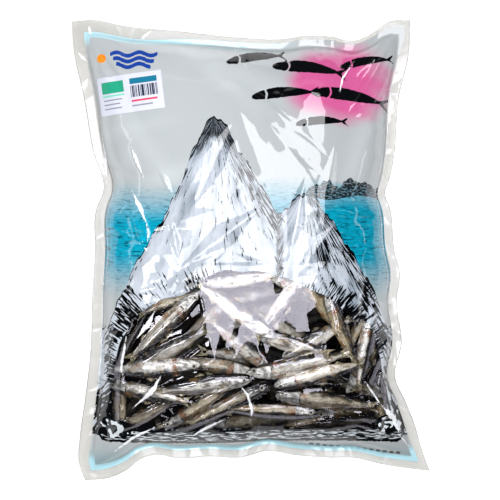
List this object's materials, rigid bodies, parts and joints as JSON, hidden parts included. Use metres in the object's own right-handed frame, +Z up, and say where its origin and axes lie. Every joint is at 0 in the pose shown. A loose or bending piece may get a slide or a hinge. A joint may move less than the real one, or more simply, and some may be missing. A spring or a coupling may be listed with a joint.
{
  "type": "bag of dried anchovies",
  "caption": "Sealed clear plastic bag packed full of dried anchovies, lying on its back, printed front up, with a clear window over the fish and a small paper label.",
  "frame": {"origin": "on the table surface, under the middle of the bag's outline", "axes": "+X across the bag to its right as the printed front is read, +Y from its foot to its head, +Z up through the front"},
  "size_m": [0.333, 0.428, 0.0785],
  "materials": {
    "printed_film": "glossy clear film, reverse printed in silver grey and turquoise, with a clear window",
    "label_paper": "smooth coated paper with a slight sheen"
  },
  "bodies": {
    "root": {"bag": "printed_film", "label": "label_paper"}
  },
  "joints": []
}
